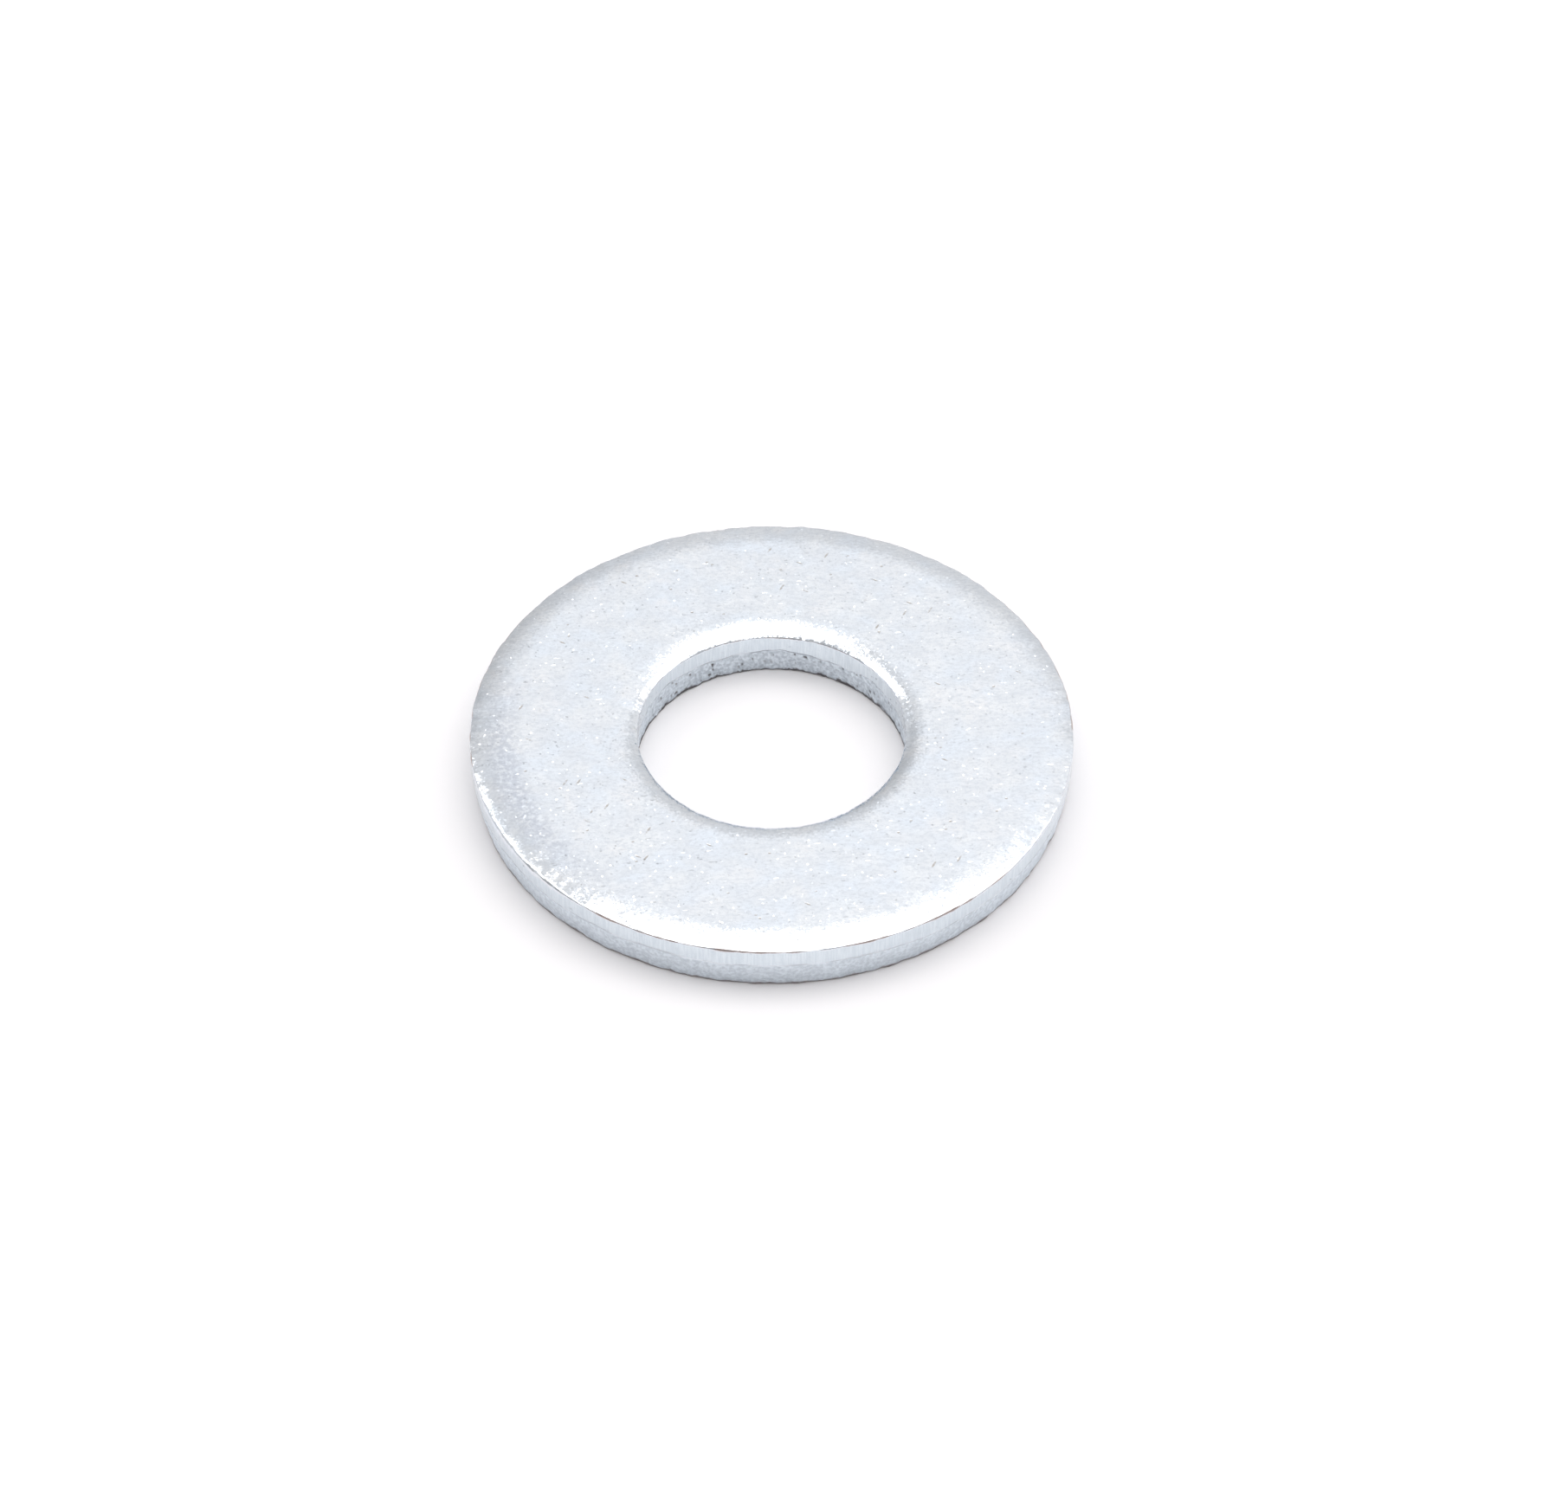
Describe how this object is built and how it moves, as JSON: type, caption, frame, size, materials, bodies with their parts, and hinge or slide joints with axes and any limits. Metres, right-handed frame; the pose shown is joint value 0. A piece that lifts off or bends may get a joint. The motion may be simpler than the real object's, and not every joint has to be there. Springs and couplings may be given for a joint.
{
  "type": "flat washer",
  "caption": "Round flat washer with a central clearance hole, punched from steel strip and bright zinc plated, with rounded top edges and torn lower edges.",
  "frame": {"origin": "centre of the hole on the bottom face, the face that the washer lies on", "axes": "+Z along the hole's axis, from the bottom face with its torn edges to the top face with its rounded edges; the part is turned about Z, so +X and +Y are free"},
  "size_m": [0.0254, 0.0254, 0.0023],
  "materials": {
    "zinc_plate": "bright zinc plate with a clear passivate: pale bluish white, semi-matt, with a fine bright grain"
  },
  "bodies": {
    "root": {"flat_washer": "zinc_plate"}
  },
  "joints": []
}
